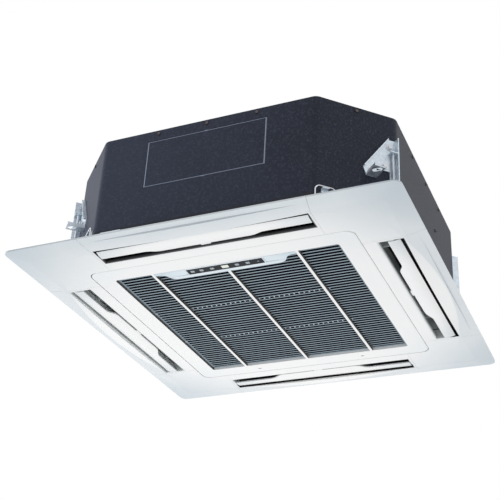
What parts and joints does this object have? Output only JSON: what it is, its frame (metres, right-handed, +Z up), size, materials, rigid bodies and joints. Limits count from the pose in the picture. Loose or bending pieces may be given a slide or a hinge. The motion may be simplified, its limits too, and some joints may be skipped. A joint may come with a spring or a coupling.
{
  "type": "ceiling cassette air conditioner",
  "caption": "Square white ceiling panel with side louvres and a slatted intake grille under a dark octagonal casing that holds the fan, coil and drain parts.",
  "frame": {"origin": "centre of the panel in the ceiling plane, level with the panel's rim", "axes": "+Z up into the ceiling void, -Y towards the front (the display side), +X to the right"},
  "size_m": [0.95, 0.95, 0.3215],
  "materials": {
    "casing_steel": "fine-textured matt coating",
    "lid_steel": "matt coating",
    "base_foam": "moulded, dark skin",
    "liner_foam": "moulded insulating foam",
    "galvanised": "galvanised sheet",
    "fastener_steel": "zinc plated",
    "wire_steel": "drawn wire",
    "panel_white": "satin white",
    "cover_white": "satin white",
    "grille_white": "satin white",
    "louvre_white": "satin white",
    "duct_grey": "matt",
    "slat_dark": "satin",
    "filter_mesh": "fine mesh",
    "wing_white": "glossy",
    "display_black": "glossy",
    "button_grey": "matt",
    "circuit_board": "solder mask",
    "terminal_plastic": "matt",
    "seal_foam": "closed-cell foam",
    "motor_paint": "matt",
    "bearing_steel": "ground",
    "shaft_steel": "turned",
    "fan_plastic": "glass-filled, matt",
    "mount_rubber": "matt",
    "fin_aluminium": "thin fins",
    "copper": "drawn copper",
    "union_brass": "machined",
    "bell_plastic": "matt",
    "pump_plastic": "matt",
    "float_white": "closed-cell",
    "hose_clear": "flexible",
    "gland_grey": "matt"
  },
  "bodies": {
    "casing": {"front_back_walls": "casing_steel", "side_walls": "casing_steel", "duct_knockout": "casing_steel", "casing_top": "lid_steel", "foam_liner": "liner_foam", "sheet_screws": "fastener_steel", "hanger_brackets": "galvanised", "bracket_bolts": "fastener_steel", "base_clips": "galvanised", "panel_studs": "fastener_steel", "fan_motor": "motor_paint", "motor_mounts": "mount_rubber", "motor_bolts": "fastener_steel", "motor_bearings": "bearing_steel", "bell_mouth": "bell_plastic", "coil_fins": "fin_aluminium", "coil_end_plates": "galvanised", "coil_return_bends": "copper", "suction_header": "copper", "gas_pipe": "copper", "liquid_pipe": "copper", "pipe_unions": "union_brass", "pipe_plate": "casing_steel", "drain_pan": "base_foam", "drain_pump": "pump_plastic", "pump_bracket": "galvanised", "float_switch": "pump_plastic", "drain_hose": "hose_clear", "drain_socket": "gland_grey", "electrical_box": "galvanised", "electrical_box_lid": "galvanised", "control_board": "circuit_board", "terminal_block": "terminal_plastic", "cable_gland": "gland_grey", "panel_frame": "panel_white", "corner_covers": "cover_white", "outlet_ducts": "duct_grey", "duct_seals": "seal_foam", "louvre_bushes": "gland_grey", "louvre_motors": "motor_paint"},
    "rotor": {"motor_shaft": "shaft_steel", "turbo_fan": "fan_plastic", "fan_nut": "fastener_steel"},
    "louvre_front": {"louvre_front": "louvre_white"},
    "louvre_right": {"louvre_right": "louvre_white"},
    "louvre_back": {"louvre_back": "louvre_white"},
    "louvre_left": {"louvre_left": "louvre_white"},
    "grille": {"grille_frame": "grille_white", "grille_slats": "slat_dark", "air_filter": "filter_mesh", "display_bezel": "wing_white", "display_window": "display_black", "display_board": "circuit_board", "grille_hinge_pins": "shaft_steel"},
    "button": {"manual_button": "button_grey"},
    "latch_left": {"latch_left": "grille_white"},
    "latch_right": {"latch_right": "grille_white"},
    "hook_left": {"panel_hook_left": "wire_steel"},
    "hook_right": {"panel_hook_right": "wire_steel"},
    "float": {"float": "float_white"}
  },
  "joints": [
    {"name": "fan_spin", "type": "hinge", "parent": "casing", "child": "rotor", "pos_m": [0, 0, 0.18], "axis": [0, 0, 1], "continuous": true},
    {"name": "louvre_front_tilt", "type": "hinge", "parent": "casing", "child": "louvre_front", "pos_m": [0, -0.4, -0.008], "axis": [1, 0, 0], "range_deg": [0, 45]},
    {"name": "louvre_right_tilt", "type": "hinge", "parent": "casing", "child": "louvre_right", "pos_m": [0.4, 0, -0.008], "axis": [0, 1, 0], "range_deg": [0, 45]},
    {"name": "louvre_back_tilt", "type": "hinge", "parent": "casing", "child": "louvre_back", "pos_m": [0, 0.4, -0.008], "axis": [-1, 0, 0], "range_deg": [0, 45]},
    {"name": "louvre_left_tilt", "type": "hinge", "parent": "casing", "child": "louvre_left", "pos_m": [-0.4, 0, -0.008], "axis": [0, -1, 0], "range_deg": [0, 45]},
    {"name": "grille_hinge", "type": "hinge", "parent": "casing", "child": "grille", "pos_m": [0, -0.312, -0.014], "axis": [-1, 0, 0], "range_deg": [0, 85]},
    {"name": "latch_left_slide", "type": "slide", "parent": "grille", "child": "latch_left", "axis": [0, 1, 0], "range_m": [0, 0.005]},
    {"name": "latch_right_slide", "type": "slide", "parent": "grille", "child": "latch_right", "axis": [0, 1, 0], "range_m": [0, 0.005]},
    {"name": "button_press", "type": "slide", "parent": "grille", "child": "button", "axis": [0, 0, 1], "range_m": [0, 0.0008], "stiffness_N_per_m": 200},
    {"name": "hook_right_swing", "type": "hinge", "parent": "casing", "child": "hook_right", "pos_m": [0.29399, -0.40432, 0.004], "axis": [0.7071, 0.7071, 0], "range_deg": [0, 75]},
    {"name": "hook_left_swing", "type": "hinge", "parent": "casing", "child": "hook_left", "pos_m": [-0.29399, -0.40432, 0.004], "axis": [0.7071, -0.7071, 0], "range_deg": [0, 75]},
    {"name": "float_rise", "type": "slide", "parent": "casing", "child": "float", "axis": [0, 0, 1], "range_m": [0, 0.006]}
  ],
  "couplings": [
    {"joint": "louvre_right_tilt", "follows": "louvre_front_tilt", "ratio": 1},
    {"joint": "louvre_back_tilt", "follows": "louvre_front_tilt", "ratio": 1},
    {"joint": "louvre_left_tilt", "follows": "louvre_front_tilt", "ratio": 1}
  ]
}
